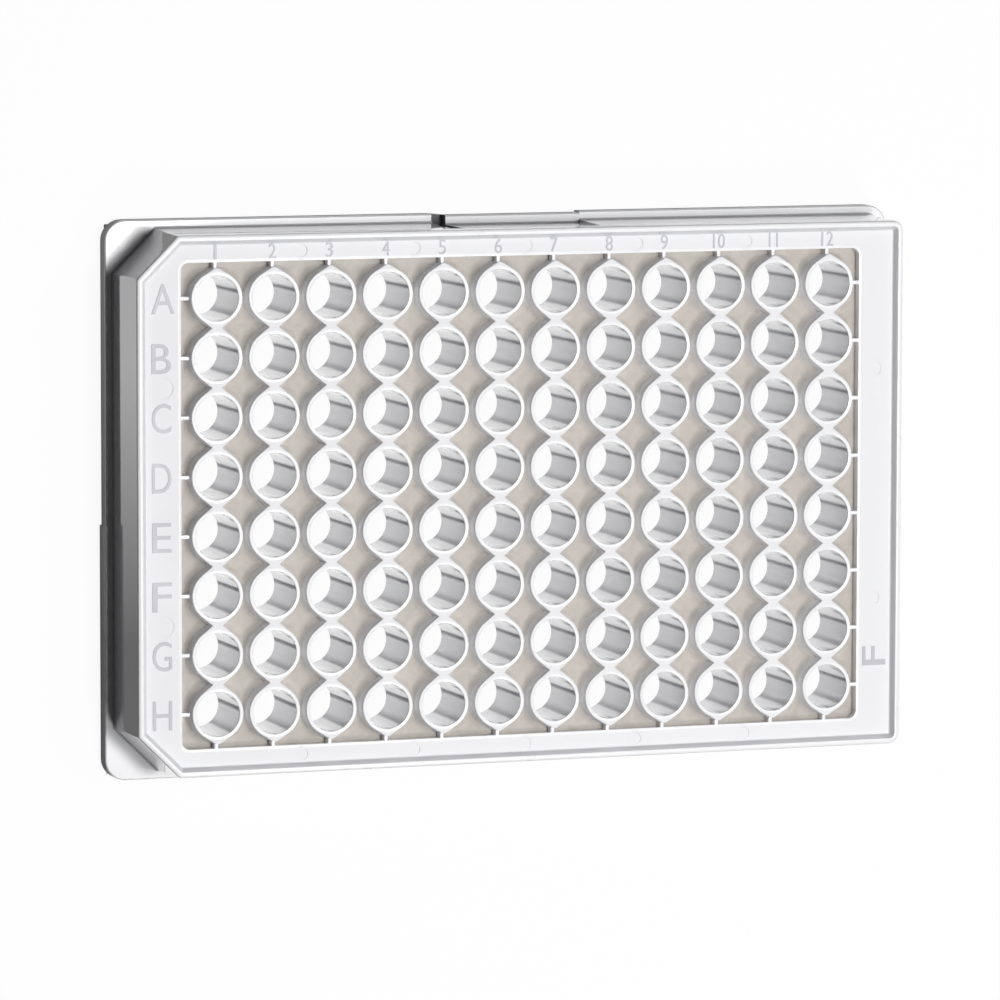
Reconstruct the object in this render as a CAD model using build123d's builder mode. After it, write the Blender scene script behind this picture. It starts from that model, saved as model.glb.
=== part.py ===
from build123d import *
from math import radians, tan
import os

# ---------------------------------------------------------------------------
# A 96-well microplate with a clear film bottom, lying on its base.
# Millimetres.  X runs along the columns 1 to 12, Y towards row A, Z up.
# The origin is the middle of the footprint, on the surface it stands on.
# ---------------------------------------------------------------------------

# The grid of wells
columns = 12
rows = 8
well_spacing = 9.0

# Footprint and flange
footprint_length = 127.76
footprint_width = 85.48
footprint_corner = 3.2
flange_height = 2.5
flange_bevel = 0.2
left_step = 0.28
left_step_start = -3.7

# Skirt, leaning outwards by its draft down from the top edge
plate_height = 14.4
top_length = 123.9
top_width = 82.0
skirt_draft = 2.0
skirt_wall = 1.3
corner_chamfer = 6.45
corner_round = 1.6
edge_round = 0.4

# Top: a raised border, the lettered face inside it, the sunk deck inside that
border_width = 1.2
border_height = 0.9
deck_length = 109.7
deck_width = 73.66
deck_corner = 1.2
deck_sink = 2.4
deck_thickness = 1.2

# Wells: bores in thin-walled chimneys that stand up from the deck
well_diameter = 6.8
well_depth = 10.9
chimney_wall = 0.6

# Webs between the chimneys of a column, and ribs from the outer chimneys to the face
web_width = 1.6
rib_width = 0.6

# Underside: the block that carries the film, cored out between the wells
core_wall = 0.85

# Clear film welded under the block
film_thickness = 0.19
film_margin = 0.25
film_corner = 2.0

# Shallow panel in the middle of each long side, and the blind slot at its left end
panel_start = -9.3
panel_end = 12.6
panel_height = 9.5
panel_sink = 0.4
flange_sink = 0.25
slot_width = 2.3
slot_floor = 0.5

# Levels and sizes that follow from them
face_level = plate_height - border_height
deck_level = plate_height - deck_sink
deck_underside = deck_level - deck_thickness
face_underside = face_level - deck_thickness
film_level = plate_height - well_depth
chimney_radius = well_diameter / 2 + chimney_wall
block_length = columns * well_spacing
block_width = rows * well_spacing
core_across = well_spacing * 2**0.5 - well_diameter - 2 * core_wall


def lean(level):
    """How far the drafted skirt stands out of its top outline at a level."""
    return (plate_height - level) * tan(radians(skirt_draft))


def plate_outline(inset):
    """Plan of the skirt's top edge, moved inwards: cut corners on the left, round on the right."""
    with BuildSketch() as outline:
        Rectangle(top_length, top_width)
        chamfer(outline.vertices().group_by(Axis.X)[0], corner_chamfer)
        fillet(outline.vertices().group_by(Axis.X)[-1], corner_round)
        if inset:
            offset(amount=-inset, kind=Kind.INTERSECTION)
    return outline.sketch


with BuildPart() as plate_body:
    # Flange, with a bevelled top edge; the upper part of its left side lies a little further in
    with BuildSketch():
        RectangleRounded(footprint_length, footprint_width, footprint_corner)
        with Locations((-footprint_length / 2, left_step_start)):
            Rectangle(2 * left_step, footprint_width, align=(Align.CENTER, Align.MIN), mode=Mode.SUBTRACT)
    extrude(amount=flange_height)
    chamfer(plate_body.edges().group_by(Axis.Z)[-1], flange_bevel)

    # Skirt, drafted down from its rounded top edge
    with BuildSketch(Plane.XY.offset(plate_height)):
        add(plate_outline(0))
    extrude(amount=-plate_height, taper=-skirt_draft)
    fillet(plate_body.edges().group_by(Axis.Z)[-1], edge_round)

    # Hollow under the face
    with BuildSketch(Plane.XY.offset(face_underside)):
        add(plate_outline(skirt_wall - lean(face_underside)))
    extrude(amount=-face_underside, taper=-skirt_draft, mode=Mode.SUBTRACT)

    # Tray of the deck, and the block of wells hanging from it
    with BuildSketch(Plane.XY.offset(deck_underside)):
        RectangleRounded(deck_length + 2 * deck_thickness, deck_width + 2 * deck_thickness,
                         deck_corner + deck_thickness)
    extrude(amount=face_underside - deck_underside)
    with BuildSketch(Plane.XY.offset(film_level)):
        Rectangle(block_length, block_width)
    extrude(amount=deck_underside - film_level)

    # Face inside the border, and the deck inside the face
    with BuildSketch(Plane.XY.offset(plate_height)):
        add(plate_outline(border_width))
    extrude(amount=-border_height, mode=Mode.SUBTRACT)
    with BuildSketch(Plane.XY.offset(face_level)):
        RectangleRounded(deck_length, deck_width, deck_corner)
    extrude(amount=deck_level - face_level, mode=Mode.SUBTRACT)

    # Ribs out to the face from the outer wells, and webs along each column
    rib_reach = (deck_length - block_length + well_spacing) / 2
    rib_middle = (deck_length - rib_reach) / 2
    with BuildSketch(Plane.XY.offset(deck_level)):
        with GridLocations(well_spacing, 0, columns, 1):
            Rectangle(rib_width, deck_width)
        with GridLocations(2 * rib_middle, well_spacing, 2, rows):
            Rectangle(rib_reach, rib_width)
    extrude(amount=face_level - deck_level)
    with BuildSketch(Plane.XY.offset(deck_level)):
        with GridLocations(well_spacing, 0, columns, 1):
            Rectangle(web_width, block_width - well_spacing)
    extrude(amount=plate_height - deck_level)

    # Chimneys
    with BuildSketch(Plane.XY.offset(deck_level)):
        with GridLocations(well_spacing, well_spacing, columns, rows):
            Circle(chimney_radius)
    extrude(amount=plate_height - deck_level)

    # Cores between the wells, and the wells themselves
    with BuildSketch(Plane.XY.offset(film_level)):
        with GridLocations(well_spacing, well_spacing, columns - 1, rows - 1):
            Rectangle(core_across, core_across, rotation=45)
    extrude(amount=deck_underside - film_level, mode=Mode.SUBTRACT)
    with BuildSketch(Plane.XY.offset(plate_height)):
        with GridLocations(well_spacing, well_spacing, columns, rows):
            Circle(well_diameter / 2)
    extrude(amount=-well_depth, mode=Mode.SUBTRACT)

    # Panels and slots of both long sides
    side = footprint_width / 2
    flange_depth = side - top_width / 2 - lean(flange_height)
    panel_middle = (panel_start + panel_end) / 2
    panel_length = panel_end - panel_start
    slot_middle = panel_start - slot_width / 2
    with BuildSketch(Plane.XY.offset(flange_height)):
        with Locations((panel_middle, -side), (panel_middle, side)):
            Rectangle(panel_length, 2 * (flange_depth + panel_sink))
    extrude(amount=panel_height, mode=Mode.SUBTRACT)
    with BuildSketch():
        with Locations((panel_middle, -side), (panel_middle, side)):
            Rectangle(panel_length, 2 * flange_sink)
    extrude(amount=flange_height, mode=Mode.SUBTRACT)
    with BuildSketch(Plane.XY.offset(slot_floor)):
        with Locations((slot_middle, -side), (slot_middle, side)):
            Rectangle(slot_width, 2 * (flange_depth + skirt_wall + lean(0)))
    extrude(amount=flange_height + panel_height - slot_floor, mode=Mode.SUBTRACT)

with BuildPart() as bottom_film:
    with BuildSketch(Plane.XY.offset(film_level)):
        RectangleRounded(block_length - 2 * film_margin, block_width - 2 * film_margin, film_corner)
    extrude(amount=-film_thickness)

os.makedirs("parts", exist_ok=True)
plate_body.part.label = "plate_body"
export_step(plate_body.part, "parts/plate_body.step")
bottom_film.part.label = "bottom_film"
export_step(bottom_film.part, "parts/bottom_film.step")
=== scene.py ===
"""A 96-well plate of white polystyrene with a clear film bottom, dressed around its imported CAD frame.

Lengths are written in millimetres and turned to metres where a mesh is made.
"""

import logging
import math
from dataclasses import dataclass, field, replace
from enum import Enum, IntEnum
from typing import Any

import bpy
import numpy as np
from mathutils import Matrix, Vector


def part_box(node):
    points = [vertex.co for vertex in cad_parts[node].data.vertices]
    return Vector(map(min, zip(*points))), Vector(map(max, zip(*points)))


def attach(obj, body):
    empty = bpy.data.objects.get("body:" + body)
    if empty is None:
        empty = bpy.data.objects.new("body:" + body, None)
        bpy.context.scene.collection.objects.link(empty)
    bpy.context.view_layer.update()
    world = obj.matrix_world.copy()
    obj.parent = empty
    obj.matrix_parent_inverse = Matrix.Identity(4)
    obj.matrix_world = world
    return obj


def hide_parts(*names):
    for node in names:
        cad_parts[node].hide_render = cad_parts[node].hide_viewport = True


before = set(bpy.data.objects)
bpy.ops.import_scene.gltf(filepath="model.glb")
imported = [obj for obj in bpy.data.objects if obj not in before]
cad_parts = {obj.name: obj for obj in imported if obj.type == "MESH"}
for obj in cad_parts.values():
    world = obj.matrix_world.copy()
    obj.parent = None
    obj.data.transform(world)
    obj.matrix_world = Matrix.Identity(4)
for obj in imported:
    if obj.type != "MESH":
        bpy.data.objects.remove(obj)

log = logging.getLogger("well_plate")

MM = 0.001                      # metres in a millimetre
SHARP = math.radians(35)        # edges that turn further than this stay crisp
WELD_STEPS = 1e4                # steps in a millimetre: points on the same step are one
ON_SIDE = 1e-6                  # mm within which a point lies on a side
NO_AREA = 1e-7                  # a triangle whose sides span less than this, in mm2, is dropped
EASE = 0.3                      # how far the middle of a rounding lies back, as a share of its radius
BODY = "root"
BODY_NODE = "plate_body"
FILM_NODE = "bottom_film"


class Slot(Enum):
    """The record's material slots."""

    PLASTIC = "white_polystyrene"
    FILM = "clear_film"


class FrameBand(IntEnum):
    """Finishes of the frame, in the order of its materials."""

    POLISH, TEXTURE, RIM, DECK, SLOT = range(5)


class WellBand(IntEnum):
    """Finishes of the field of wells, in the order of its materials."""

    DECK, WALL, RIM, BORE = range(4)


# ---------------------------------------------------------------- colour and nodes


def linear(code: str) -> tuple[float, float, float, float]:
    """Turns an sRGB hex colour into the linear one that the shaders take.

    Args:
        code: six hex digits, red first.

    Returns:
        Linear red, green and blue with an alpha of 1.
    """
    shares = [int(code[i:i + 2], 16) / 255 for i in (0, 2, 4)]
    red, green, blue = [s / 12.92 if s <= 0.04045 else ((s + 0.055) / 1.055) ** 2.4 for s in shares]
    return (red, green, blue, 1.0)


def add_node(tree: bpy.types.NodeTree, kind: str, settings: dict[Any, Any] | None = None,
             links: dict[Any, bpy.types.NodeSocket] | None = None) -> bpy.types.Node:
    """Adds one shader node with its settings and the links into it.

    Args:
        tree: the material's or the world's node tree.
        kind: the node's type name.
        settings: input sockets by name or number, and the node's own properties by name.
        links: sockets that feed the node's inputs, by input name or number.

    Returns:
        The new node.
    """
    node = tree.nodes.new(kind)
    for key, value in (settings or {}).items():
        if isinstance(key, int) or key in node.inputs:
            node.inputs[key].default_value = value
        else:
            setattr(node, key, value)
    for key, source in (links or {}).items():
        tree.links.new(source, node.inputs[key])
    return node


def bare_tree(owner: bpy.types.Material | bpy.types.World) -> bpy.types.NodeTree:
    """Empties a node tree.

    Args:
        owner: the material or world that has it.

    Returns:
        The tree, without nodes.
    """
    owner.use_nodes = True
    owner.node_tree.nodes.clear()
    return owner.node_tree


# ---------------------------------------------------------------- finishes


@dataclass(frozen=True)
class MouldedPolystyrene:
    """Opaque white polystyrene as it leaves an injection mould.

    The pigment is titanium white, so the plastic is a clean, cool white with a soft gloss. Its IOR is 1.59.
    A polished mould face leaves a hard glossy skin that mirrors the room, a spark-eroded one leaves a fine
    even grain that scatters the gloss. Slow flow marks change the gloss and the tone by a little over some
    millimetres. Deep between walls the tone can carry a painted shade that clears with the height.
    """

    name: str
    tone: str                   # the plastic's colour
    shade_tone: str             # the colour in the weaker patches
    roughness: float
    roughness_spread: float     # how far the flow marks move the roughness
    grain: float                # mm from one grain of the mould's texture to the next
    grain_height: float         # mm from the grain's top to its bottom
    coat: float = 0.0           # share of a hard gloss skin, where the mould was polished
    coat_ior: float = 1.5       # how strongly that skin mirrors at a glancing angle
    mottle: float = 9.0         # mm from one flow mark to the next
    clean_rise: tuple[float, float] = (0.0, 0.0)    # mm over the floor between which the painted shade clears
    clean_tone: str = "FAFAFC"  # the colour above that
    ior: float = 1.59

    def build(self) -> bpy.types.Material:
        """Makes the finish's node tree.

        Returns:
            The material.
        """
        material = bpy.data.materials.new(self.name)
        tree = bare_tree(material)
        place = add_node(tree, "ShaderNodeTexCoord").outputs["Object"]
        flow = add_node(tree, "ShaderNodeTexNoise",
                        {"Scale": 1 / (self.mottle * MM), "Detail": 3.0, "Roughness": 0.55,
                         "Distortion": 0.6}, {"Vector": place})
        colour = add_node(tree, "ShaderNodeMix",
                          {"data_type": "RGBA", 6: linear(self.shade_tone), 7: linear(self.tone)},
                          {"Factor": flow.outputs["Fac"]}).outputs[2]
        # Painted shade: low down the tone stays the shaded one, and it clears to the clean tone with the
        # height.
        if self.clean_rise[1]:
            height = add_node(tree, "ShaderNodeSeparateXYZ", links={0: place}).outputs["Z"]
            rise = add_node(tree, "ShaderNodeMapRange",
                            {"From Min": self.clean_rise[0] * MM, "From Max": self.clean_rise[1] * MM},
                            {"Value": height})
            colour = add_node(tree, "ShaderNodeMix", {"data_type": "RGBA", 7: linear(self.clean_tone)},
                              {"Factor": rise.outputs["Result"], 6: colour}).outputs[2]
        gloss = add_node(tree, "ShaderNodeMapRange",
                         {"From Min": 0.3, "From Max": 0.7,
                          "To Min": self.roughness - self.roughness_spread,
                          "To Max": self.roughness + self.roughness_spread},
                         {"Value": flow.outputs["Fac"]})
        grain = add_node(tree, "ShaderNodeTexNoise",
                         {"Scale": 1 / (self.grain * MM), "Detail": 2.0, "Roughness": 0.6},
                         {"Vector": place})
        bump = add_node(tree, "ShaderNodeBump", {"Strength": 1.0, "Distance": self.grain_height * MM},
                        {"Height": grain.outputs["Fac"]})
        shader = add_node(tree, "ShaderNodeBsdfPrincipled",
                          {"IOR": self.ior, "Coat Weight": self.coat, "Coat Roughness": 0.04,
                           "Coat IOR": self.coat_ior},
                          {"Base Color": colour, "Roughness": gloss.outputs["Result"],
                           "Normal": bump.outputs["Normal"]})
        add_node(tree, "ShaderNodeOutputMaterial", links={"Surface": shader.outputs["BSDF"]})
        return material


@dataclass(frozen=True)
class ClearFilm:
    """Clear polystyrene film, cast and stretched flat: colourless, glossy, with faint waves."""

    name: str = "clear_polystyrene_film"
    tint: str = "FFFFFF"
    roughness: float = 0.02
    ior: float = 1.3            # under polystyrene's 1.59: so thin a film hardly shifts what lies beneath it
    wave: float = 14.0          # mm between the faint waves
    wave_height: float = 0.01   # mm

    def build(self) -> bpy.types.Material:
        """Makes the finish's node tree.

        Returns:
            The material.
        """
        material = bpy.data.materials.new(self.name)
        tree = bare_tree(material)
        place = add_node(tree, "ShaderNodeTexCoord").outputs["Object"]
        wave = add_node(tree, "ShaderNodeTexNoise", {"Scale": 1 / (self.wave * MM), "Detail": 1.0},
                        {"Vector": place})
        bump = add_node(tree, "ShaderNodeBump", {"Strength": 1.0, "Distance": self.wave_height * MM},
                        {"Height": wave.outputs["Fac"]})
        haze = add_node(tree, "ShaderNodeMapRange",
                        {"To Min": self.roughness * 0.5, "To Max": self.roughness * 1.5},
                        {"Value": wave.outputs["Fac"]})
        shader = add_node(tree, "ShaderNodeBsdfPrincipled",
                          {"Base Color": linear(self.tint), "IOR": self.ior, "Transmission Weight": 1.0},
                          {"Roughness": haze.outputs["Result"], "Normal": bump.outputs["Normal"]})
        add_node(tree, "ShaderNodeOutputMaterial", links={"Surface": shader.outputs["BSDF"]})
        return material


# Polished mould faces: a deep gloss that shows the room in the skirt as broad bands of grey.
POLISHED = MouldedPolystyrene("polished_white_polystyrene", "E2E2E5", "DADADE", roughness=0.10,
                              roughness_spread=0.03, grain=0.5, grain_height=0.002, coat=1.0, coat_ior=2.2)
# Spark-textured faces: an even matt white.
TEXTURED = MouldedPolystyrene("spark_textured_white_polystyrene", "F4F4F6", "EEEEF1", roughness=0.55,
                              roughness_spread=0.05, grain=0.30, grain_height=0.012)
# Rims and edges: smooth and glossier than the face, their tone lifted a little as a painted highlight: the
# brightest lines of the plate.
RIM = MouldedPolystyrene("rim_painted_highlight_polystyrene", "FCFCFD", "F8F8FA", roughness=0.30,
                         roughness_spread=0.04, grain=0.4, grain_height=0.003, coat=0.2)
# The sunk deck: rough, with a painted shade: a warm grey between the chimneys that clears to white up their
# walls with the height.
DECK = MouldedPolystyrene("sunk_deck_painted_shade_polystyrene", "CCC5BE", "9E9790", roughness=0.55, roughness_spread=0.05,
                          grain=0.35, grain_height=0.02, mottle=2.2, clean_rise=(12.05, 12.9))
# Bores drawn off polished pins: glossy, so that they mirror what lies under the film.
BORE = MouldedPolystyrene("drawn_bore_polystyrene", "FCFCFE", "F8F8FB", roughness=0.09,
                          roughness_spread=0.02, grain=0.5, grain_height=0.002, coat=1.0, coat_ior=2.5)
# The slots' walls: rough, and dark grey as a painted shade for the white plastic, where hardly any light gets
# in.
SLOT = MouldedPolystyrene("slot_painted_shade_polystyrene", "6E6E73", "606065", roughness=0.6, roughness_spread=0.05,
                          grain=0.3, grain_height=0.01)
# Raised marks: satin, in a grey-white that is a painted shade of the moulded strokes, so that they read
# softly against the face.
MARK_PAINTED_SHADE = MouldedPolystyrene("moulded_mark_painted_shade_polystyrene", "C6C6CB", "BFBFC5", roughness=0.45,
                          roughness_spread=0.05, grain=0.3, grain_height=0.006)


# ---------------------------------------------------------------- mesh building


@dataclass
class Surface:
    """Triangles gathered from grids of points, one material number for each triangle."""

    points: list[np.ndarray] = field(default_factory=list)
    triangles: list[np.ndarray] = field(default_factory=list)
    finishes: list[np.ndarray] = field(default_factory=list)
    count: int = 0

    def add(self, points: np.ndarray, triangles: np.ndarray, finishes: np.ndarray) -> None:
        """Adds triangles over their own points.

        Args:
            points: (n, 3) places in mm.
            triangles: (m, 3) numbers into the points.
            finishes: (m,) material numbers.
        """
        self.points.append(points)
        self.triangles.append(triangles + self.count)
        self.finishes.append(finishes)
        self.count += len(points)

    def add_quads(self, grid: np.ndarray, quads: np.ndarray, finishes: np.ndarray) -> None:
        """Adds four-cornered faces, each as two triangles.

        Args:
            grid: (n, 3) places in mm.
            quads: (m, 4) numbers into the grid, anticlockwise from outside.
            finishes: (m,) material numbers.
        """
        triangles = quads[:, [0, 1, 2, 0, 2, 3]].reshape(-1, 3)
        self.add(grid, triangles, np.repeat(finishes, 2))

    def mesh(self, name: str) -> bpy.types.Mesh:
        """Welds equal points, drops the faces that have no area, and makes the mesh.

        Args:
            name: the mesh's name.

        Returns:
            The mesh, in metres, smooth but for its sharp edges.
        """
        points = np.concatenate(self.points)
        triangles = np.concatenate(self.triangles)
        finishes = np.concatenate(self.finishes)
        keys = np.round(points * WELD_STEPS).astype(np.int64)
        _, first, welded = np.unique(keys, axis=0, return_index=True, return_inverse=True)
        points = points[first]
        triangles = welded.reshape(-1)[triangles]
        a, b, c = (points[triangles[:, i]] for i in range(3))
        kept = np.linalg.norm(np.cross(b - a, c - a), axis=1) > NO_AREA
        triangles, finishes = triangles[kept], finishes[kept]
        used, triangles = np.unique(triangles, return_inverse=True)
        triangles = triangles.reshape(-1, 3)
        points = points[used] * MM
        mesh = bpy.data.meshes.new(name)
        mesh.vertices.add(len(points))
        mesh.vertices.foreach_set("co", points.astype(np.float32).ravel())
        mesh.loops.add(triangles.size)
        mesh.loops.foreach_set("vertex_index", triangles.astype(np.int32).ravel())
        mesh.polygons.add(len(triangles))
        mesh.polygons.foreach_set("loop_start", np.arange(0, triangles.size, 3, dtype=np.int32))
        mesh.polygons.foreach_set("material_index", finishes.astype(np.int32))
        mesh.update(calc_edges=True)
        mesh.validate()
        mesh.shade_smooth()
        mesh.set_sharp_from_angle(angle=SHARP)
        return mesh


def grid_quads(rows: int, columns: int, close_rows: bool, close_columns: bool) -> np.ndarray:
    """Numbers the faces of a grid of points laid out row by row.

    The face of row i and column j joins (i, j), (i, j+1), (i+1, j+1) and (i+1, j). A closed direction
    joins its last line of points to its first.

    Args:
        rows: lines of points.
        columns: points in each line.
        close_rows: whether the last row joins the first.
        close_columns: whether the last column joins the first.

    Returns:
        (faces rows, faces columns, 4) point numbers.
    """
    i = np.arange(rows if close_rows else rows - 1)[:, None]
    j = np.arange(columns if close_columns else columns - 1)[None, :]
    below, beside = (i + 1) % rows, (j + 1) % columns
    return np.stack(np.broadcast_arrays(i * columns + j, i * columns + beside,
                                        below * columns + beside, below * columns + j), axis=-1)


def add_object(name: str, data: bpy.types.ID) -> bpy.types.Object:
    """Puts a new object in the scene.

    Args:
        name: the object's name.
        data: its mesh, curve, lamp or camera.

    Returns:
        The object, at the origin.
    """
    made = bpy.data.objects.new(name, data)
    bpy.context.scene.collection.objects.link(made)
    return made


def place_piece(mesh: bpy.types.Mesh, slot: Slot, finishes: list[bpy.types.Material]) -> bpy.types.Object:
    """Puts a finished mesh in the scene as one piece of the plate.

    Args:
        mesh: the mesh, in the row frame.
        slot: the record's slot for the piece; not used.
        finishes: its materials in the order of their numbers.

    Returns:
        The new object, which rides on the plate's body.
    """
    for finish in finishes:
        mesh.materials.append(finish)
    piece = add_object(mesh.name, mesh)
    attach(piece, BODY)
    low, high = np.array(piece.bound_box).min(0) / MM, np.array(piece.bound_box).max(0) / MM
    log.info("%s: %d triangles, %s to %s mm", piece.name, len(mesh.polygons),
             np.round(low, 2).tolist(), np.round(high, 2).tolist())
    return piece


# ---------------------------------------------------------------- sizes shared by the pieces


@dataclass(frozen=True)
class PlateSizes:
    """The plate's levels and spans in mm. The footprint and height are measured on the CAD body."""

    half_length: float
    half_width: float
    height: float
    pitch: float = 9.0
    columns: int = 12
    rows: int = 8
    border_height: float = 0.9
    deck_sink: float = 2.4
    deck_thickness: float = 1.2
    deck_half_length: float = 54.85
    deck_half_width: float = 36.83
    well_depth: float = 10.9

    @property
    def face_level(self) -> float:
        """Level of the lettered face."""
        return self.height - self.border_height

    @property
    def deck_level(self) -> float:
        """Level of the sunk deck between the chimneys."""
        return self.height - self.deck_sink

    @property
    def deck_underside(self) -> float:
        """Level of the deck's underside."""
        return self.deck_level - self.deck_thickness

    @property
    def face_underside(self) -> float:
        """Level of the face's underside."""
        return self.face_level - self.deck_thickness

    @property
    def film_level(self) -> float:
        """Level of the film's upper side."""
        return self.height - self.well_depth

    @property
    def field_half_length(self) -> float:
        """Half the length of the field of wells."""
        return self.columns * self.pitch / 2

    @property
    def field_half_width(self) -> float:
        """Half the width of the field of wells."""
        return self.rows * self.pitch / 2


def measured_sizes() -> PlateSizes:
    """Reads the footprint and the height from the CAD body's box."""
    low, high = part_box(BODY_NODE)
    return PlateSizes((high.x - low.x) / 2 / MM, (high.y - low.y) / 2 / MM, high.z / MM)


# ---------------------------------------------------------------- the frame


@dataclass(frozen=True)
class LevelLine:
    """One level line of the frame: a rectangle with its own kind of corner at the left and at the right."""

    level: float
    reach_x: float
    reach_y: float
    left: float                 # radius of the left corners, or the size of their cut
    right: float                # radius of the right corners
    cut: bool = False           # whether the left corners are cut straight
    sunk: float = 0.0           # how far the middle panel of the long sides lies back
    step: float = 0.0           # how far the upper left side lies back

    def inset(self, by: float, level: float) -> "LevelLine":
        """Gives the parallel line that lies further in at another level.

        Args:
            by: distance inwards, or outwards where it is negative.
            level: its level.

        Returns:
            The new line. A straight corner cut shrinks by 2 minus root 2 of the distance.
        """
        left = self.left - by * (2 - math.sqrt(2)) if self.cut else max(self.left - by, 0.0)
        return replace(self, level=level, reach_x=self.reach_x - by, reach_y=self.reach_y - by,
                       left=left, right=max(self.right - by, 0.0))


CORNER_POINTS = 10
CUT_ROUND = 0.5                 # radius where a cut corner meets the sides


def corner(reach_x: float, reach_y: float, size: float, cut: bool) -> np.ndarray:
    """Points of the corner at +X +Y, from the X side round to the Y side.

    A round corner is centre + size (cos t, sin t) for t from 0 to a quarter turn. A cut one is the same with
    a small radius for the first and the second half of the turn, the centres a cut apart.

    Args:
        reach_x: where the X side lies.
        reach_y: where the Y side lies.
        size: the radius, or the length cut off each side.
        cut: whether it is cut straight.

    Returns:
        (CORNER_POINTS, 2) points.
    """
    turn = np.linspace(0, math.pi / 2, CORNER_POINTS)
    if not cut:
        return np.stack([reach_x - size + size * np.cos(turn), reach_y - size + size * np.sin(turn)], 1)
    half = CORNER_POINTS // 2
    turn = np.concatenate([np.linspace(0, math.pi / 4, half), np.linspace(math.pi / 4, math.pi / 2, half)])
    first = np.arange(CORNER_POINTS) < half
    run = CUT_ROUND * math.tan(math.pi / 8)
    centre_x = np.where(first, reach_x - CUT_ROUND, reach_x - size - run)
    centre_y = np.where(first, reach_y - size - run, reach_y - CUT_ROUND)
    return np.stack([centre_x + CUT_ROUND * np.cos(turn), centre_y + CUT_ROUND * np.sin(turn)], 1)


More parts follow.
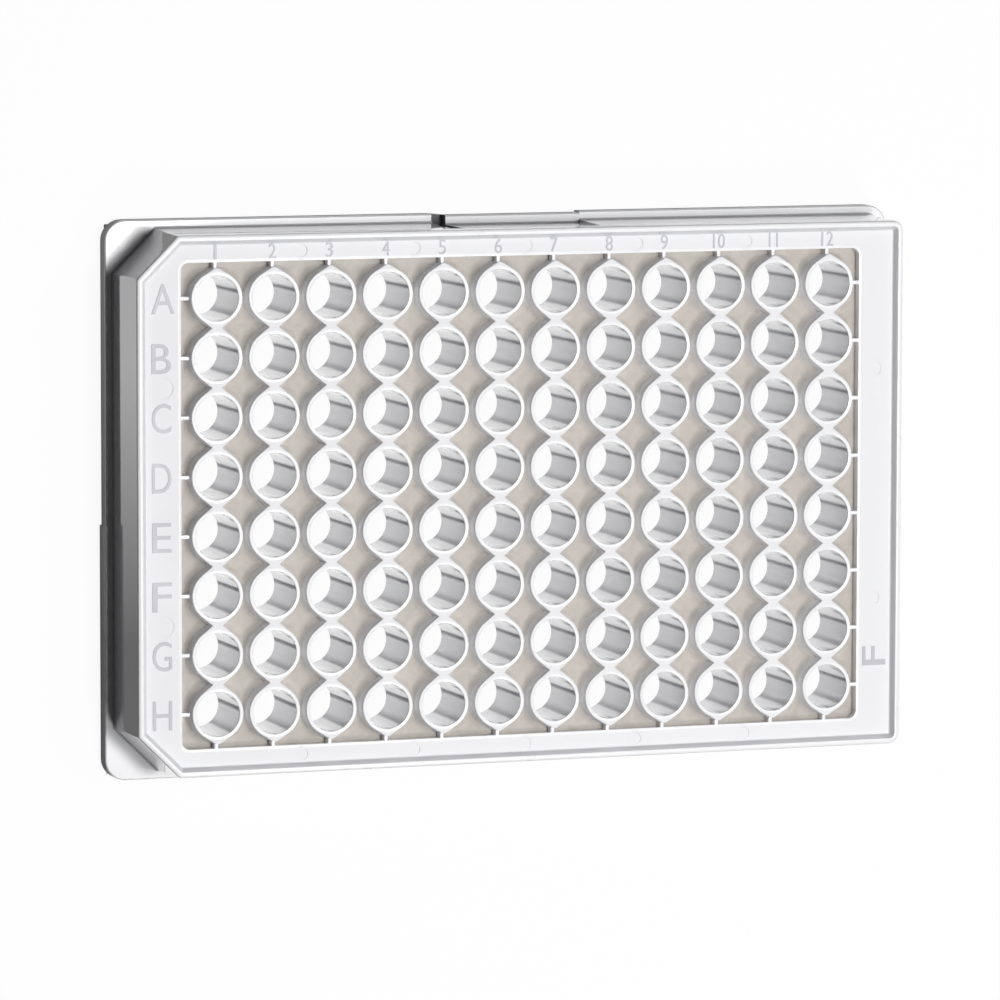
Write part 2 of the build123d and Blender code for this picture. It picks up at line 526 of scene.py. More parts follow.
@dataclass
class PlateFrame:
    """Everything of the moulded body outside the field of wells: flange, skirt, border, face and tray."""

    sizes: PlateSizes
    footprint_corner: float = 3.2
    flange_height: float = 2.5
    flange_bevel: float = 0.2
    skirt_half_length: float = 61.95
    skirt_half_width: float = 41.0
    skirt_draft: float = math.radians(2)
    skirt_wall: float = 1.3
    skirt_foot: float = 0.22        # radius where the skirt meets the flange
    corner_cut: float = 6.45
    corner_round: float = 1.6
    edge_round: float = 0.4         # the skirt's upper edge
    border_width: float = 0.87      # over the top; its inner wall leans inwards down to the face
    border_foot: float = 1.4
    fine_round: float = 0.12        # edges of the border, the face and the tray
    bright_edge: float = 0.3        # how far the face beside the tray takes the rim finish with its painted highlight
    margin: float = 0.1             # from a rounding to the extra line that keeps the flat beyond it flat
    deck_corner: float = 1.2
    panel_start: float = -9.3
    panel_end: float = 12.6
    panel_height: float = 9.5       # above the flange
    panel_sink: float = 0.4
    flange_sink: float = 0.25
    slot_width: float = 2.3
    slot_floor: float = 0.5
    left_step: float = 0.28         # how far the upper left of the flange lies back
    left_step_from: float = -3.7    # where that begins along Y

    def skirt(self, level: float, inwards: float = 0.0) -> LevelLine:
        """The skirt's outside, or a line further in: the draft widens it downwards by depth x tan(draft).

        Args:
            level: the line's level.
            inwards: how far it lies inside the skirt's outside.

        Returns:
            The level line.
        """
        top = LevelLine(self.sizes.height, self.skirt_half_length, self.skirt_half_width,
                        self.corner_cut, self.corner_round, cut=True)
        lean = (self.sizes.height - level) * math.tan(self.skirt_draft)
        return top.inset(inwards - lean, level)

    def panelled(self, line: LevelLine) -> LevelLine:
        """Sinks the middle panel of a skirt line: the panel stands upright, the skirt around it leans."""
        over_flange = (line.level - self.flange_height) * math.tan(self.skirt_draft)
        return replace(line, sunk=self.panel_sink - over_flange)

    def level_lines(self) -> tuple[list[LevelLine], list[int]]:
        """Lists the lines of the closed section, from the inside of the skirt round the outside and back.

        Returns:
            The lines, and the finish of the band that follows each.
        """
        s, f, r, m = self.sizes, self.fine_round, self.edge_round, self.margin
        skirt, wall, band = self.skirt, self.skirt_wall, FrameBand
        flange, bevel, heel = self.flange_height, self.flange_bevel, self.skirt_foot
        panel, top, face, below = flange + self.panel_height, s.height, s.face_level, s.face_underside
        foot = LevelLine(0.0, s.half_length, s.half_width, self.footprint_corner, self.footprint_corner,
                         sunk=self.flange_sink, step=self.left_step)
        tray = LevelLine(s.deck_level, s.deck_half_length, s.deck_half_width,
                         self.deck_corner, self.deck_corner)
        outer = tray.inset(-s.deck_thickness, s.deck_underside)
        field_edge = LevelLine(s.deck_level, s.field_half_length, s.field_half_width, 0.0, 0.0)
        panelled = [skirt(flange, -heel - m), skirt(flange, -heel), skirt(flange + heel * EASE, -heel * EASE),
                    skirt(flange + heel), skirt(flange + heel + m), skirt(panel - m), skirt(panel)]
        # Bands in the rim finish carry its painted highlight, and the tray's floor the deck's painted shade.
        bands = [
            (skirt(panel, wall), band.POLISH),
            (skirt(self.slot_floor, wall), band.POLISH),
            (skirt(0.0, wall), band.POLISH),
            (foot, band.TEXTURE),
            (foot.inset(0.0, self.slot_floor), band.TEXTURE),
            (foot.inset(0.0, flange - bevel), band.POLISH),
            (foot.inset(bevel * EASE, flange - bevel * EASE), band.POLISH),
            (foot.inset(bevel, flange), band.RIM),
            (foot.inset(bevel + m, flange), band.RIM),
            *((self.panelled(line), band.POLISH if i else band.RIM) for i, line in enumerate(panelled)),
            (skirt(panel), band.POLISH),
            (skirt(panel + m), band.POLISH),
            (skirt(top - r - m), band.POLISH),
            (skirt(top - r), band.RIM),
            (skirt(top, r * EASE).inset(0.0, top - r * EASE), band.RIM),
            (skirt(top, r), band.RIM),
            (skirt(top, self.border_width - f), band.RIM),
            (skirt(top, self.border_width - f * EASE).inset(0.0, top - f * EASE), band.RIM),
            (skirt(top, self.border_width).inset(0.0, top - f), band.POLISH),
            (skirt(top, self.border_foot).inset(0.0, face + f), band.TEXTURE),
            (skirt(top, self.border_foot + f).inset(0.0, face), band.TEXTURE),
            (skirt(top, self.border_foot + f + m).inset(0.0, face), band.TEXTURE),
            (tray.inset(-f - self.bright_edge, face), band.RIM),
            (tray.inset(-f, face), band.RIM),
            (tray.inset(-f * EASE, face - f * EASE), band.RIM),
            (tray.inset(0.0, face - f), band.POLISH),
            (tray.inset(0.0, s.deck_level + f), band.DECK),
            (tray.inset(f, s.deck_level), band.DECK),
            (field_edge, band.POLISH),
            (field_edge.inset(0.0, s.deck_underside), band.POLISH),
            (outer, band.POLISH),
            (outer.inset(0.0, below), band.POLISH),
            (skirt(below, wall), band.POLISH),
        ]
        return [line for line, _ in bands], [finish for _, finish in bands]

    def ring(self, line: LevelLine) -> np.ndarray:
        """Points of one level line, anticlockwise from the +X +Y corner.

        The long sides have stations at the ends of the panel and of the slot, and the left side has one at
        its step. A station that is written twice holds the line before and after a step, and the extra ones
        beside it keep the flats flat.

        Args:
            line: the level line.

        Returns:
            (points, 3) places in mm.
        """
        x, y = line.reach_x, line.reach_y
        left = corner(x, y, line.left, line.cut)
        right = corner(x, y, line.right, False)
        slot_start = self.panel_start - self.slot_width
        back = y - line.sunk
        end, start, m = self.panel_end, self.panel_start, self.margin
        side = np.array([[end + m, y], [end, y], [end, back], [end - m, back],
                         [start + m, back], [start, back], [slot_start, y], [slot_start - m, y]])
        stepped = np.array([line.step, 0.0])
        upper_left = left[::-1] * [-1, 1] + stepped
        step_y, upper_x = self.left_step_from, line.step - x
        left_side = np.array([[upper_x, step_y + m], [upper_x, step_y], [-x, step_y], [-x, step_y - m]])
        parts = [right, side, upper_left, left_side, -left, side[::-1] * [1, -1], right[::-1] * [1, -1]]
        flat = np.concatenate(parts)
        return np.column_stack([flat, np.full(len(flat), line.level)])

    def build(self, finishes: list[bpy.types.Material]) -> bpy.types.Object:
        """Carries the section along its level lines, cuts the two slots, and closes their walls.

        Args:
            finishes: the polished, textured, rim, deck and slot materials. The rim one carries a painted
                highlight,
            the deck and slot ones painted shade.

        Returns:
            The frame, which stands for the CAD body.
        """
        lines, bands = self.level_lines()
        grid = np.stack([self.ring(line) for line in lines])
        rows, columns = grid.shape[:2]
        quads = grid_quads(rows, columns, True, True)
        finish = np.broadcast_to(np.array(bands)[:, None], quads.shape[:2]).copy()
        inner_roof, inner_floor, outer_floor, outer_roof = 0, 1, 4, 15      # level lines at a slot's ends
        near, far = CORNER_POINTS + 5, 3 * CORNER_POINTS + 13               # the first station of each slot
        open_faces = np.zeros(quads.shape[:2], bool)
        open_faces[inner_roof:inner_floor, [near, far]] = True
        open_faces[outer_floor:outer_roof, [near, far]] = True
        surface = Surface()
        surface.add_quads(grid.reshape(-1, 3), quads[~open_faces], finish[~open_faces])
        section = np.array([inner_roof, inner_floor, *range(outer_floor, outer_roof + 1)])
        # The slots' walls and ends take the slot finish, a painted shade.
        for station, turned in ((near, True), (near + 1, False), (far, True), (far + 1, False)):
            wall = grid[section, station]
            fan = np.array([[1, k, k + 1] for k in range(2, len(section) - 1)] + [[1, len(section) - 1, 0]])
            surface.add(wall, fan[:, ::-1] if turned else fan, np.full(len(fan), FrameBand.SLOT))
        for station in (near, far):
            pair = [station, station + 1]
            for inside, outside, order in ((inner_roof, outer_roof, (0, 1, 2, 3)),
                                           (inner_floor, outer_floor, (3, 2, 1, 0))):
                quad = np.concatenate([grid[inside, pair], grid[outside, pair[::-1]]])
                surface.add_quads(quad, np.array([order]), np.array([FrameBand.SLOT]))
        piece = place_piece(surface.mesh("plate_frame"), Slot.PLASTIC, finishes)
        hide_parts(BODY_NODE)
        return piece


# ---------------------------------------------------------------- the field of wells


@dataclass
class WellField:
    """The 96 chimneys with their bores, the deck between them, and the cored block that carries the film.

    Each well is one square cell of polar points: columns are rays from the well's middle, rows go from the
    cell's edge in over the deck, up the chimney, over the rim, down the bore and out under the block.
    """

    sizes: PlateSizes
    chimney_radius: float = 4.02
    mouth_radius: float = 3.42      # the bore tapers from here
    floor_radius: float = 3.29      # to here
    waist: float = 0.8              # half the width of the web between two wells of a column
    end_waist: float = 0.35         # the same where the first and last wells meet a rib
    core_reach: float = 4.19        # from a well's middle to the flat side of a core
    rim_width: float = 0.42         # of the bright ring round a mouth, whose rim finish carries a painted highlight
    # The fillet at a chimney's foot: distances outside its outline, and heights over the deck.
    fillet: tuple[tuple[float, float], ...] = (
        (1.20, 0.0), (0.75, 0.06), (0.45, 0.20), (0.25, 0.42), (0.10, 0.80))
    # The rounding of the rims: distances from a wall, and depths under the top.
    rim_round: tuple[tuple[float, float], ...] = ((0.0, 0.12), (0.03, 0.03), (0.10, 0.0))
    ray_step: int = 9               # degrees between the even rays
    even_end: int = 64              # degrees where they end
    marked: tuple[int, ...] = (3, 4, 5, 7)      # profile lines that get a ray where they meet the cell's edge
    samples: int = 4000             # points along the edge among which those places are looked up

    def chimney_profile(self) -> tuple[np.ndarray, np.ndarray]:
        """Heights over the deck and the rim against the distance inside the chimney's outline.

        Returns:
            Distances from outside to inside, and their levels.
        """
        out, up = np.array(self.fillet).T
        back, down = np.array(self.rim_round).T
        level = np.concatenate([up + self.sizes.deck_level, self.sizes.height - down])
        return np.concatenate([-out, back]), level

    def outline(self, turn: np.ndarray, waist: np.ndarray) -> np.ndarray:
        """The chimney's outline: a circle whose tangents run out to the edges of the web, like a lemon's tip.

        Args:
            turn: angles from the X axis in the first quarter.
            waist: half the web's width.

        Returns:
            Radii. Past the tangent's angle the radius is R / cos(turn - tangent's angle).
        """
        half = self.sizes.pitch / 2
        far = np.hypot(waist, half)
        tangent = np.arctan2(half, waist) - np.arccos(self.chimney_radius / far)
        return np.where(turn <= tangent, self.chimney_radius,
                        self.chimney_radius / np.cos(np.maximum(turn - tangent, 0)))

    def edge(self, turn: np.ndarray) -> np.ndarray:
        """The radius at which a ray leaves the square cell."""
        return self.sizes.pitch / 2 / np.maximum(np.abs(np.cos(turn)), np.abs(np.sin(turn)))

    def core_edge(self, turn: np.ndarray) -> np.ndarray:
        """The radius of the straight wall between the bore and the diamond core, in the first quarter."""
        return self.core_reach / np.cos(turn - math.pi / 4)

    def quarter(self, waist: float) -> tuple[np.ndarray, np.ndarray]:
        """The rays of one quarter, and which of them cross a core.

        Besides even steps there are rays at the ends of the core, each twice, and at the web's edges.

        Args:
            waist: half the web's width at that quarter's web.

        Returns:
            Angles from 0 to a quarter turn, and a mask.
        """
        half = self.sizes.pitch / 2
        core = math.atan2(self.core_reach * math.sqrt(2) - half, half)
        turns = np.arctan2(half, np.linspace(0.05, half, self.samples)[::-1])
        inside = self.outline(turns, waist) - self.edge(turns)
        marks = np.interp(self.chimney_profile()[0][list(self.marked)], inside, turns)
        steps = np.radians(np.arange(0, self.even_end, self.ray_step))
        before, after = steps[steps < core], steps[steps > core]
        ends = [core, math.pi / 2 - core]
        after = np.concatenate([after[after < ends[1]], ends[1:]])
        tail = np.concatenate([ends[1:], marks, [(marks[-1] + math.pi / 2) / 2]])
        turn = np.concatenate([before, ends[:1], ends[:1], after, tail])
        mask = np.zeros(len(turn), bool)
        mask[len(before) + 1:len(before) + 2 + len(after)] = True
        return turn, mask

    def rays(self, column: np.ndarray, row: np.ndarray) -> list[np.ndarray]:
        """The rays of every cell, quarter by quarter, each quarter a mirror image of the one before.

        Args:
            column: the wells' column numbers, from -X.
            row: their row numbers, from -Y.

        Returns:
            For all rays of each cell: angles, the outline's radii, the core walls' radii, and whether the ray
            crosses a core.
        """
        s = self.sizes
        inner, inner_mask = self.quarter(self.waist)
        outer, _ = self.quarter(self.end_waist)
        end = np.full((len(row), 1), math.pi / 2)
        quarters = []
        for quadrant in range(4):
            last = row == (s.rows - 1 if quadrant < 2 else 0)
            side = column == (s.columns - 1 if quadrant in (0, 3) else 0)
            turn = np.where(last[:, None], outer, inner)
            waist = np.where(last, self.end_waist, self.waist)[:, None]
            lemon = self.outline(turn, waist)
            mask = inner_mask[None, :] & ~(last | side)[:, None]
            if quadrant in (1, 3):
                turn = np.concatenate([end, turn[:, :0:-1]], 1)
                lemon = np.concatenate([self.outline(end, waist), lemon[:, :0:-1]], 1)
                mask = np.concatenate([np.zeros((len(row), 1), bool), mask[:, :0:-1]], 1)
            angle = [turn, math.pi - turn, math.pi + turn, 2 * math.pi - turn][quadrant]
            quarters.append((angle, lemon, self.core_edge(turn), mask))
        return [np.concatenate(part, 1) for part in zip(*quarters)]

    def section(self, turn: np.ndarray, lemon: np.ndarray, core: np.ndarray,
                mask: np.ndarray) -> tuple[np.ndarray, np.ndarray, np.ndarray]:
        """The rows of points of every cell, from its edge over the chimney, down the bore and out below.

        Args:
            turn: the rays' angles.
            lemon: the chimney's outline along them.
            core: the core walls along them.
            mask: whether a ray crosses a core.

        Returns:
            Radii and heights by cell, row and ray, and the finish of each band of faces.
        """
        s, mouth, top = self.sizes, self.mouth_radius, self.sizes.height
        edge = self.edge(turn)
        distance, level = self.chimney_profile()
        ones = np.ones_like(turn)
        radii = [edge] + [np.minimum(lemon - d, edge) for d in distance]
        heights = [np.interp(lemon - r, distance, level) for r in radii]
        taper = (mouth - self.floor_radius) / s.well_depth
        drop = self.rim_round[0][1]
        for radius, height in ((mouth + self.rim_width, top),
                               *((mouth + back, top - down) for back, down in self.rim_round[::-1]),
                               (mouth - drop * taper, top - 2 * drop), (self.floor_radius, s.film_level)):
            radii.append(radius * ones)
            heights.append(height * ones)
        land = np.where(mask, np.minimum(core, edge), edge)
        roof = np.where(mask, s.deck_underside, s.film_level)
        radii += [land, land, edge]
        heights += [s.film_level * ones, roof, roof]
        band = WellBand
        # The deck and fillet rows carry the deck's painted shade, and the rim rows the rim finish's painted
        # highlight.
        bands = [band.DECK] * 6 + [band.WALL] * 3 + [band.RIM] * 3 + [band.BORE] * 2 + [band.WALL] * 3
        return np.stack(radii, 1), np.stack(heights, 1), np.array(bands)

    def build(self, finishes: list[bpy.types.Material]) -> bpy.types.Object:
        """Makes all cells as one array, closes the block's sides, and welds the cells together.

        Args:
            finishes: the deck, wall, rim and bore materials. The deck one is painted shade, the rim one
                carries a
            painted highlight.

        Returns:
            The field of wells.
        """
        s = self.sizes
        column, row = [a.ravel() for a in np.meshgrid(np.arange(s.columns), np.arange(s.rows))]
        middle_x = (column - (s.columns - 1) / 2) * s.pitch
        middle_y = (row - (s.rows - 1) / 2) * s.pitch
        turn, *walls = self.rays(column, row)
        radius, height, bands = self.section(turn, *walls)
        x = middle_x[:, None, None] + radius * np.cos(turn)[:, None, :]
        y = middle_y[:, None, None] + radius * np.sin(turn)[:, None, :]
        flat = np.stack([x, y, height], -1).reshape(-1, 3)
        cells, lines, rays = height.shape
        quads = grid_quads(lines, rays, False, True)
        finish = np.broadcast_to(bands[:lines - 1, None], quads.shape[:2])
        start = (np.arange(cells) * lines * rays)[:, None, None]
        surface = Surface()
        faces = (quads.reshape(1, -1, 4) + start).reshape(-1, 4)
        surface.add_quads(flat, faces, np.tile(finish.ravel(), cells))

        ray = np.arange(rays)
        after = (ray + 1) % rays
        below = (lines - 1) * rays
        corners = (start + np.stack([ray, below + ray, below + after, after], -1)[None]).reshape(-1, 4)
        ends = np.abs(flat[corners])
        on_x = np.all(np.abs(ends[..., 0] - s.field_half_length) < ON_SIDE, axis=1)
        on_y = np.all(np.abs(ends[..., 1] - s.field_half_width) < ON_SIDE, axis=1)
        outside = corners[on_x | on_y]
        surface.add_quads(flat, outside, np.full(len(outside), WellBand.WALL))
        return place_piece(surface.mesh("well_field"), Slot.PLASTIC, finishes)


@dataclass
class FrameRibs:
    """The short ribs that tie the outer wells to the frame, one at each end of every row and column."""

    sizes: PlateSizes
    half_width: float = 0.3
    overlap: float = 0.12           # how far a rib reaches into what it joins
    inner_end: float = 3.88         # from an outer well's middle to where its rib starts
    # The rib's rounded back: shares of the half width, and depths under the top.
    back: tuple[tuple[float, float], ...] = ((-1.0, 0.16), (-0.7, 0.04), (0.0, 0.0), (0.7, 0.04), (1.0, 0.16))

    def build(self, finishes: list[bpy.types.Material]) -> bpy.types.Object:
        """Draws a bar with a rounded back from each outer well to the tray's wall.

        Args:
            finishes: the rim material, with its painted highlight.

        Returns:
            All ribs as one piece.
        """
        s = self.sizes
        foot = s.deck_level - self.overlap
        share, depth = np.array(self.back).T
        across = self.half_width * np.concatenate([[-1.0], share, [1.0]])
        level = np.concatenate([[foot], s.face_level - depth, [foot]])
        surface = Surface()
        n = len(across)
        sides = grid_quads(2, n, False, True).reshape(-1, 4)
        caps = np.array([[0, 1, 5, 6], [1, 2, 4, 5]])
        tips = np.array([[2, 3, 4]])
        for count, others, outer_end, turned in ((s.columns, s.rows, s.deck_half_width, True),
                                                 (s.rows, s.columns, s.deck_half_length, False)):
            places = (np.arange(count) - (count - 1) / 2) * s.pitch
            reach = np.array([(others - 1) / 2 * s.pitch + self.inner_end, outer_end + self.overlap])
            for sign in (-1, 1):
                side = places[:, None, None] + across[None, None, :] * np.ones((1, 2, 1))
                run = np.broadcast_to((sign * reach)[None, :, None], side.shape)
                high = np.broadcast_to(level, side.shape)
                points = np.stack([side, run, high] if turned else [run, side, high], -1).reshape(-1, 3)
                shift = (np.arange(count) * 2 * n)[:, None, None]
                body = (np.concatenate([sides, caps[:, ::-1], caps + n])[None] + shift).reshape(-1, 4)
                ends = (np.concatenate([tips[:, ::-1], tips + n])[None] + shift).reshape(-1, 3)
                if (sign > 0) != turned:
                    body, ends = body[:, ::-1], ends[:, ::-1]
                surface.add_quads(points, body, np.zeros(len(body), int))
                surface.add(points, ends, np.zeros(len(ends), int))
        return place_piece(surface.mesh("frame_ribs"), Slot.PLASTIC, finishes)


# ---------------------------------------------------------------- marks moulded on the face


def vertex_places(mesh: bpy.types.Mesh) -> np.ndarray:
    """Reads where a mesh's vertices lie.

    Args:
        mesh: the mesh.

    Returns:
        (vertices, 3) places in metres.
    """
    co = np.empty(len(mesh.vertices) * 3, np.float32)
    mesh.vertices.foreach_get("co", co)
    return co.reshape(-1, 3)


@dataclass(frozen=True)
class Mark:
    """One mark on the face: what it says, where its middle is, how tall and wide it is, and its turn."""

    text: str
    x: float
    y: float
    tall: float
    wide: float
    bold: float = 0.0           # mm by which the font's strokes are widened
    turn: float = 0.0


@dataclass
class MouldedMarks:
    """The generic row letters and column numbers, raised from the face by a tenth of a millimetre."""

    sizes: PlateSizes
    letters_left: float = -59.5
    letter_size: tuple[float, float] = (4.5, 3.05)      # height and width
    wide_letter: float = 3.65                           # the A
    number_y: float = 38.4
    number_height: float = 2.25
    digit_width: float = 1.15
    pair_width: float = 1.95
    narrow: dict[int, float] = field(default_factory=lambda: {1: 0.45, 11: 1.5})    # numbers made of ones
    lying: Mark = Mark("F", 57.8, -27.1, 3.9, 3.0, bold=0.021, turn=math.pi / 2)
    rise: float = 0.1

    def characters(self) -> list[Mark]:
        """Lists the letters A to H down the left strip and the numbers 1 to 12 along the upper one.

        Returns:
            The marks, with the lying F of the right strip last.
        """
        s = self.sizes
        tall, usual = self.letter_size
        widths = [usual if i else self.wide_letter for i in range(s.rows)]
        letters = [Mark(chr(ord("A") + i), self.letters_left + wide / 2,
                        ((s.rows - 1) / 2 - i) * s.pitch, tall, wide)
                   for i, wide in enumerate(widths)]
        numbers = [Mark(str(i), (i - (s.columns + 1) / 2) * s.pitch, self.number_y, self.number_height,
                        self.narrow.get(i, self.digit_width if i < 10 else self.pair_width))
                   for i in range(1, s.columns + 1)]
        return letters + numbers + [self.lying]

    def character_mesh(self, mark: Mark) -> bpy.types.Mesh:
        """Makes one mark a mesh, then scales it to its height and width and lays it on the face.

        Args:
            mark: the character.

        Returns:
            Its mesh in the row frame.
        """
        curve = bpy.data.curves.new("character", "FONT")
        curve.body = mark.text
        curve.align_x, curve.align_y = "CENTER", "CENTER"
        curve.size = mark.tall * MM
        curve.extrude = self.rise * MM
        curve.offset = mark.bold * MM
        curve.resolution_u = 4
        text = add_object("character", curve)
        bpy.context.view_layer.update()
        mesh = bpy.data.meshes.new_from_object(text.evaluated_get(bpy.context.evaluated_depsgraph_get()))
        bpy.data.objects.remove(text)
        co = vertex_places(mesh)
        low, high = co.min(0), co.max(0)
        span = (high - low) / MM
        to_middle = Matrix.Translation(Vector((-(low[0] + high[0]) / 2, -(low[1] + high[1]) / 2, 0)))
        size = Matrix.Diagonal(Vector((mark.wide / span[0], mark.tall / span[1], 1, 1)))
        place = Matrix.Translation(Vector((mark.x, mark.y, self.sizes.face_level)) * MM)
        mesh.transform(place @ Matrix.Rotation(mark.turn, 4, "Z") @ size @ to_middle)
        return mesh

    def build(self, finishes: list[bpy.types.Material]) -> bpy.types.Object:
        """Gathers all characters into one piece.

        Args:
            finishes: the marks' material, a painted shade.

        Returns:
            The marks.
        """
        surface = Surface()
        for mark in self.characters():
            mesh = self.character_mesh(mark)
            mesh.calc_loop_triangles()
            faces = np.empty(len(mesh.loop_triangles) * 3, np.int32)
            mesh.loop_triangles.foreach_get("vertices", faces)
            faces = faces.reshape(-1, 3)
            surface.add(vertex_places(mesh) / MM, faces, np.zeros(len(faces), int))
            bpy.data.meshes.remove(mesh)
        return place_piece(surface.mesh("moulded_marks"), Slot.PLASTIC, finishes)


@dataclass
class EjectorMarks:
    """The arcs that the mould's ejector pins pressed up on the face, each a low wall round a flat disc.

    Each goes round its middle with a gentle slope up to the wall's crest and a steep one down inside it. The
    pins stood a little askew, so the crest's height is (1 + cos t) / 2 of its most, highest towards +X.
    """

    sizes: PlateSizes
    left_radius: float = 1.6
    left_x: float = -57.7
    right_x: float = 57.7
    side_y: float = 18.0
    small_radius: float = 0.95      # of all others
    strip_y: float = 38.35
    strip_spacing: float = 18.0
    crest: float = 0.09             # over the disc
    lift: float = 0.01              # of the disc over the face
    shares: tuple[float, ...] = (1.4, 1.0, 0.92, 0.89, 0.0)     # radii: foot, crest, inside, flat, middle
    steps: int = 24

    def build(self, finishes: list[bpy.types.Material]) -> bpy.types.Object:
        """Makes the rings of both side strips and both long strips as one piece.

        Args:
            finishes: the textured material.

        Returns:
            The rings.
        """
        ends = ((self.left_x, self.left_radius), (self.right_x, self.small_radius))
        sides = [(x, y, radius) for x, radius in ends for y in (-self.side_y, self.side_y)]
        strips = [(i * self.strip_spacing, y, self.small_radius)
                  for i in range(-2, 3) for y in (-self.strip_y, self.strip_y)]
        shares = np.array(self.shares)
        turn = np.linspace(0, 2 * math.pi, self.steps, endpoint=False)
        rise = self.crest * (shares == 1)[:, None] * (1 + np.cos(turn)) / 2
        level = self.sizes.face_level + self.lift * (shares <= 1)[:, None] + rise
        surface = Surface()
        for x, y, radius in sides + strips:
            reach = radius * shares[:, None]
            grid = np.stack([x + reach * np.cos(turn), y + reach * np.sin(turn), level], -1)
            quads = grid_quads(len(shares), self.steps, False, True).reshape(-1, 4)
            surface.add_quads(grid.reshape(-1, 3), quads, np.zeros(len(quads), int))
        return place_piece(surface.mesh("ejector_marks"), Slot.PLASTIC, finishes)


# ---------------------------------------------------------------- the film


def dress_film(finish: bpy.types.Material) -> None:
    """Gives the CAD film its clear finish.

    Args:
        finish: the film's material.
    """
    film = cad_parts[FILM_NODE]
    for held in film.material_slots:
        held.link = "OBJECT"
        held.material = finish
    log.info("%s: CAD node of the slot %s, finish %s", film.name, Slot.FILM.value, finish.name)


# ---------------------------------------------------------------- the studio


@dataclass(frozen=True)
class SoftBox:
    """One square soft light, aimed at the plate's middle."""

    name: str
    azimuth: float              # degrees from +X towards +Y, seen from above
    elevation: float            # degrees above the floor
    distance: float             # metres
    side: float                 # metres
    level: float                # share of white that it gives a white face turned to it

    def build(self) -> None:
        """Places the lamp. Its power is pi squared times the distance squared for a level of 1."""
        light = bpy.data.lights.new(self.name, "AREA")
        light.shape = "SQUARE"
        light.size = self.side
        light.energy = self.level * (math.pi * self.distance) ** 2
        lamp = add_object(self.name, light)
        a, e = math.radians(self.azimuth), math.radians(self.elevation)
        away = Vector((math.cos(e) * math.cos(a), math.cos(e) * math.sin(a), math.sin(e)))
        lamp.location = away * self.distance
        lamp.rotation_euler = away.to_track_quat("Z", "Y").to_euler()


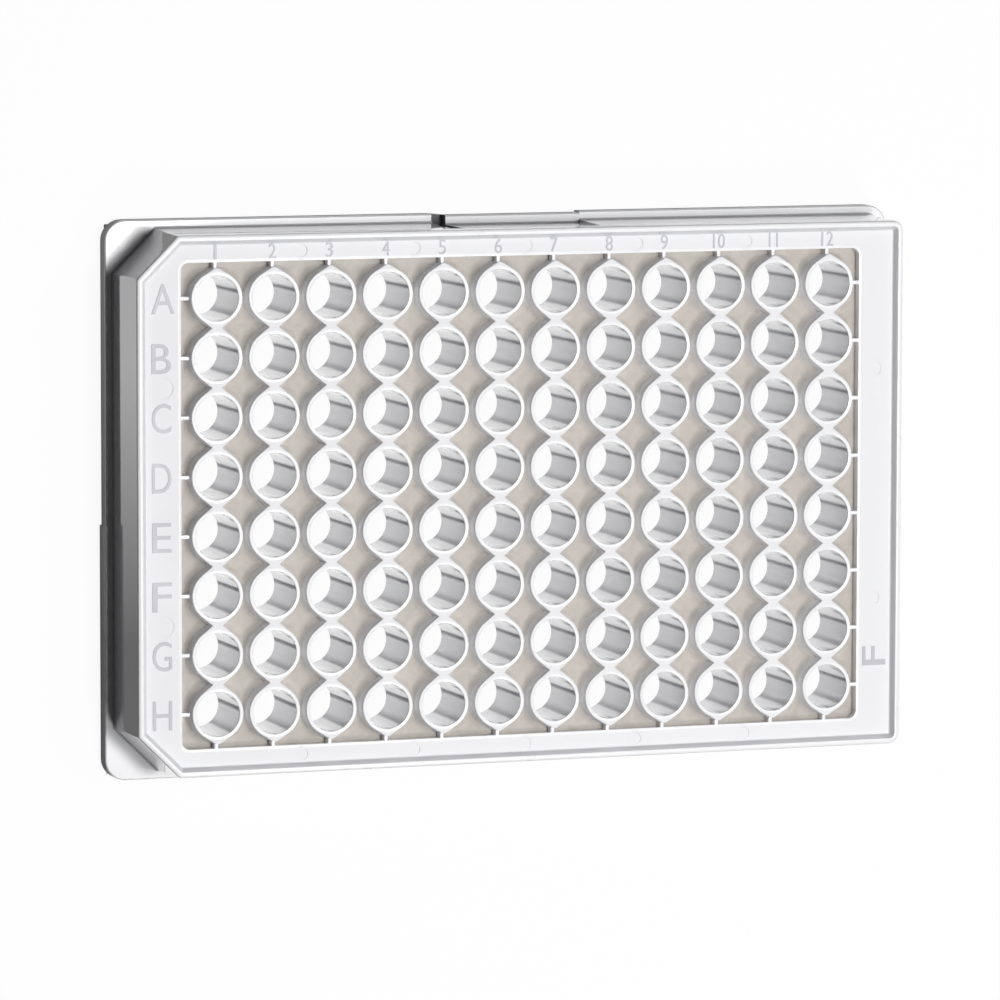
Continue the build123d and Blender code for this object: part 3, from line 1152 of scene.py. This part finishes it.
@dataclass
class Studio:
    """A white floor, three soft lamps from the right and the front, and a long lens above the upper left."""

    floor_side: float = 6.0         # metres
    floor_drop: float = 0.02        # mm from the plate's foot down to the paper
    paper: str = "FFFFFF"           # as the camera sees it
    paper_light: str = "8C8C8E"     # as it throws light back
    floor_share: float = 0.93       # how much of the floor that the camera sees is plain white
    shade: tuple[float, float] = (63.0, 42.0)       # how far the plate's shade reaches in X and Y, mm
    ambient: float = 0.03
    # White in mirrors: shares of a turn from -X, and strengths.
    mirror_stops: tuple[tuple[float, float], ...] = (
        (0.085, 0.78), (0.112, 0.1), (0.15, 0.1), (0.18, 1.0),
        (0.745, 1.0), (0.775, 0.35), (0.80, 0.35), (0.88, 0.78))
    left_edge: float = -63.5        # mm; what lies further left dims
    fall: tuple[float, float] = (-22.0, 20.0)       # mm along Y from where it is dimmest to where it is full
    dimmest: float = 0.25
    eye: tuple[float, float, float] = (-330.1, 106.0, 948.1)    # mm
    right: tuple[float, float, float] = (0.9443, 0.0019, 0.3291)
    down: tuple[float, float, float] = (-0.0334, -0.9943, 0.1017)
    lens: float = 234.3             # mm
    sensor: float = 36.0            # mm
    clips: tuple[float, float] = (0.05, 20.0)       # metres
    lamps: tuple[SoftBox, ...] = (
        SoftBox("top_box", 4, 82, 0.9, 0.17, 0.54),
        SoftBox("front_box", -66, 60, 0.9, 0.20, 0.26),
        SoftBox("side_box", 18, 58, 0.9, 0.26, 0.13),
    )

    def plain_white(self, tree: bpy.types.NodeTree) -> bpy.types.NodeSocket:
        """How much plain white a ray sees on the floor: a share for the camera, all of it through the film.

        Under the plate the camera sees none, because the floor there lies in its shade.

        Args:
            tree: the floor's node tree.

        Returns:
            The factor's socket.
        """
        path = add_node(tree, "ShaderNodeLightPath")
        place = add_node(tree, "ShaderNodeTexCoord")
        spot = add_node(tree, "ShaderNodeSeparateXYZ", links={0: place.outputs["Object"]})
        outside = []
        for axis, reach in zip("XY", self.shade):
            off = add_node(tree, "ShaderNodeMath", {"operation": "ABSOLUTE"}, {0: spot.outputs[axis]})
            outside.append(add_node(tree, "ShaderNodeMath", {"operation": "GREATER_THAN", 1: reach * MM},
                                    {0: off.outputs[0]}))
        beyond = add_node(tree, "ShaderNodeMath", {"operation": "MAXIMUM"},
                          {i: node.outputs[0] for i, node in enumerate(outside)})
        share = add_node(tree, "ShaderNodeMath", {"operation": "MULTIPLY", 1: self.floor_share},
                         {0: beyond.outputs[0]})
        camera = add_node(tree, "ShaderNodeMath", {"operation": "MULTIPLY"},
                          {0: share.outputs[0], 1: path.outputs["Is Camera Ray"]})
        both = add_node(tree, "ShaderNodeMath", {"operation": "MAXIMUM"},
                        {0: camera.outputs[0], 1: path.outputs["Is Transmission Ray"]})
        return both.outputs[0]

    def mirrored_side(self, tree: bpy.types.NodeTree) -> bpy.types.NodeSocket:
        """How white the surroundings are in a mirror, by the side they lie on.

        The side is the turn of the direction round the upright, as a share of a full turn from -X. White
        paper lies all round but for a dark seam and an unlit corner.

        Args:
            tree: the world's node tree.

        Returns:
            The strength's socket.
        """
        place = add_node(tree, "ShaderNodeTexCoord")
        toward = add_node(tree, "ShaderNodeSeparateXYZ", links={0: place.outputs["Generated"]})
        turn = add_node(tree, "ShaderNodeMath", {"operation": "ARCTAN2"},
                        {0: toward.outputs["Y"], 1: toward.outputs["X"]})
        side = add_node(tree, "ShaderNodeMapRange", {"From Min": -math.pi, "From Max": math.pi},
                        {"Value": turn.outputs[0]})
        ramp = add_node(tree, "ShaderNodeValToRGB", links={0: side.outputs["Result"]})
        stops = ramp.color_ramp.elements
        stops[0].position, stops[1].position = self.mirror_stops[0][0], self.mirror_stops[-1][0]
        for position, _ in self.mirror_stops[1:-1]:
            stops.new(position)
        for stop, (_, white) in zip(stops, self.mirror_stops):
            stop.color = (white, white, white, 1.0)
        below = add_node(tree, "ShaderNodeMath", {"operation": "LESS_THAN", 1: 0.0}, {0: toward.outputs["Z"]})
        path = add_node(tree, "ShaderNodeLightPath")
        mirrored = add_node(tree, "ShaderNodeMath", {"operation": "MULTIPLY"},
                            {0: path.outputs["Is Glossy Ray"], 1: below.outputs[0]})
        strength = add_node(tree, "ShaderNodeMix", {"data_type": "FLOAT", 2: self.ambient},
                            {0: mirrored.outputs[0], 3: ramp.outputs["Color"]})
        return strength.outputs[0]

    def mirrored_left(self, tree: bpy.types.NodeTree) -> bpy.types.NodeSocket:
        """How bright the floor is in a mirror: to the left of the plate it falls off towards the front.

        Args:
            tree: the floor's node tree.

        Returns:
            The share's socket.
        """
        place = add_node(tree, "ShaderNodeTexCoord")
        spot = add_node(tree, "ShaderNodeSeparateXYZ", links={0: place.outputs["Object"]})
        beside = add_node(tree, "ShaderNodeMath", {"operation": "LESS_THAN", 1: self.left_edge * MM},
                          {0: spot.outputs["X"]})
        fall = add_node(tree, "ShaderNodeMapRange",
                        {"From Min": self.fall[0] * MM, "From Max": self.fall[1] * MM,
                         "To Min": self.dimmest}, {"Value": spot.outputs["Y"]})
        left = add_node(tree, "ShaderNodeMix", {"data_type": "FLOAT", 2: 1.0},
                        {0: beside.outputs[0], 3: fall.outputs["Result"]})
        return left.outputs[0]

    def build_floor(self) -> None:
        """Lays the floor. It shows white with the plate's shadow, and gives little light back.

        What the plate mirrors is seen through it: the white surroundings. A ray that only went straight
        through the film hasn't been mirrored, so it sees the paper.
        """
        half = self.floor_side / 2
        mesh = bpy.data.meshes.new("studio_floor")
        mesh.from_pydata([(x, y, -self.floor_drop * MM)
                          for x, y in ((-half, -half), (half, -half), (half, half), (-half, half))],
                         [], [(0, 1, 2, 3)])
        material = bpy.data.materials.new("white_paper_floor")
        tree = bare_tree(material)
        path = add_node(tree, "ShaderNodeLightPath")
        tone = add_node(tree, "ShaderNodeMix",
                        {"data_type": "RGBA", 6: linear(self.paper_light), 7: linear(self.paper)},
                        {"Factor": path.outputs["Is Camera Ray"]})
        paper = add_node(tree, "ShaderNodeBsdfDiffuse", links={"Color": tone.outputs[2]})
        white = add_node(tree, "ShaderNodeEmission", {"Color": (1, 1, 1, 1), "Strength": 1.0})
        seen = add_node(tree, "ShaderNodeMixShader",
                        links={0: self.plain_white(tree), 1: paper.outputs[0], 2: white.outputs[0]})
        clear = add_node(tree, "ShaderNodeBsdfTransparent", links={"Color": self.mirrored_left(tree)})
        reflected = add_node(tree, "ShaderNodeMath", {"operation": "GREATER_THAN", 1: 0.5},
                             {0: path.outputs["Glossy Depth"]})
        mirrored = add_node(tree, "ShaderNodeMath", {"operation": "MULTIPLY"},
                            {0: reflected.outputs[0], 1: path.outputs["Is Glossy Ray"]})
        surface = add_node(tree, "ShaderNodeMixShader",
                           links={0: mirrored.outputs[0], 1: seen.outputs[0], 2: clear.outputs[0]})
        add_node(tree, "ShaderNodeOutputMaterial", links={"Surface": surface.outputs[0]})
        mesh.materials.append(material)
        add_object("studio_floor", mesh)

    def build_world(self) -> None:
        """Sets a faint even light. The camera sees it as white, and mirrors see white below the horizon."""
        world = bpy.data.worlds.new("studio_world")
        bpy.context.scene.world = world
        tree = bare_tree(world)
        path = add_node(tree, "ShaderNodeLightPath")
        strength = add_node(tree, "ShaderNodeMix", {"data_type": "FLOAT", 3: 1.0},
                            {0: path.outputs["Is Camera Ray"], 2: self.mirrored_side(tree)})
        light = add_node(tree, "ShaderNodeBackground", {"Color": (1, 1, 1, 1)},
                         {"Strength": strength.outputs[0]})
        add_node(tree, "ShaderNodeOutputWorld", links={"Surface": light.outputs[0]})

    def build_camera(self) -> None:
        """Places the camera and makes it the scene's own."""
        data = bpy.data.cameras.new("studio_camera")
        data.lens = self.lens
        data.sensor_width = self.sensor
        data.clip_start, data.clip_end = self.clips
        camera = add_object("studio_camera", data)
        right = Vector(self.right).normalized()
        up = -Vector(self.down)
        up = (up - right * up.dot(right)).normalized()
        back = right.cross(up)
        turn = Matrix((right, up, back)).transposed().to_4x4()
        camera.matrix_world = Matrix.Translation(Vector(self.eye) * MM) @ turn
        bpy.context.scene.camera = camera

    def build(self) -> None:
        """Builds floor, world, lamps and camera."""
        bpy.context.scene.view_settings.view_transform = "Standard"
        self.build_floor()
        self.build_world()
        for lamp in self.lamps:
            lamp.build()
        self.build_camera()
        log.info("studio: %d lamps, lens %.1f mm", len(self.lamps), self.lens)


# ---------------------------------------------------------------- all together


def main() -> None:
    """Builds the plate's pieces in order, dresses them, and sets up the studio."""
    logging.basicConfig(level=logging.INFO, format="%(name)s: %(message)s")
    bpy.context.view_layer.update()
    sizes = measured_sizes()
    # The deck, slot and mark finishes are painted shade, and the rim finish carries a painted highlight.
    polished, textured, rim = POLISHED.build(), TEXTURED.build(), RIM.build()
    deck, bore, mark = DECK.build(), BORE.build(), MARK_PAINTED_SHADE.build()
    PlateFrame(sizes).build([polished, textured, rim, deck, SLOT.build()])
    WellField(sizes).build([deck, textured, rim, bore])
    FrameRibs(sizes).build([rim])
    MouldedMarks(sizes).build([mark])
    EjectorMarks(sizes).build([textured])
    dress_film(ClearFilm().build())
    Studio().build()


if __name__ == "__main__":
    main()
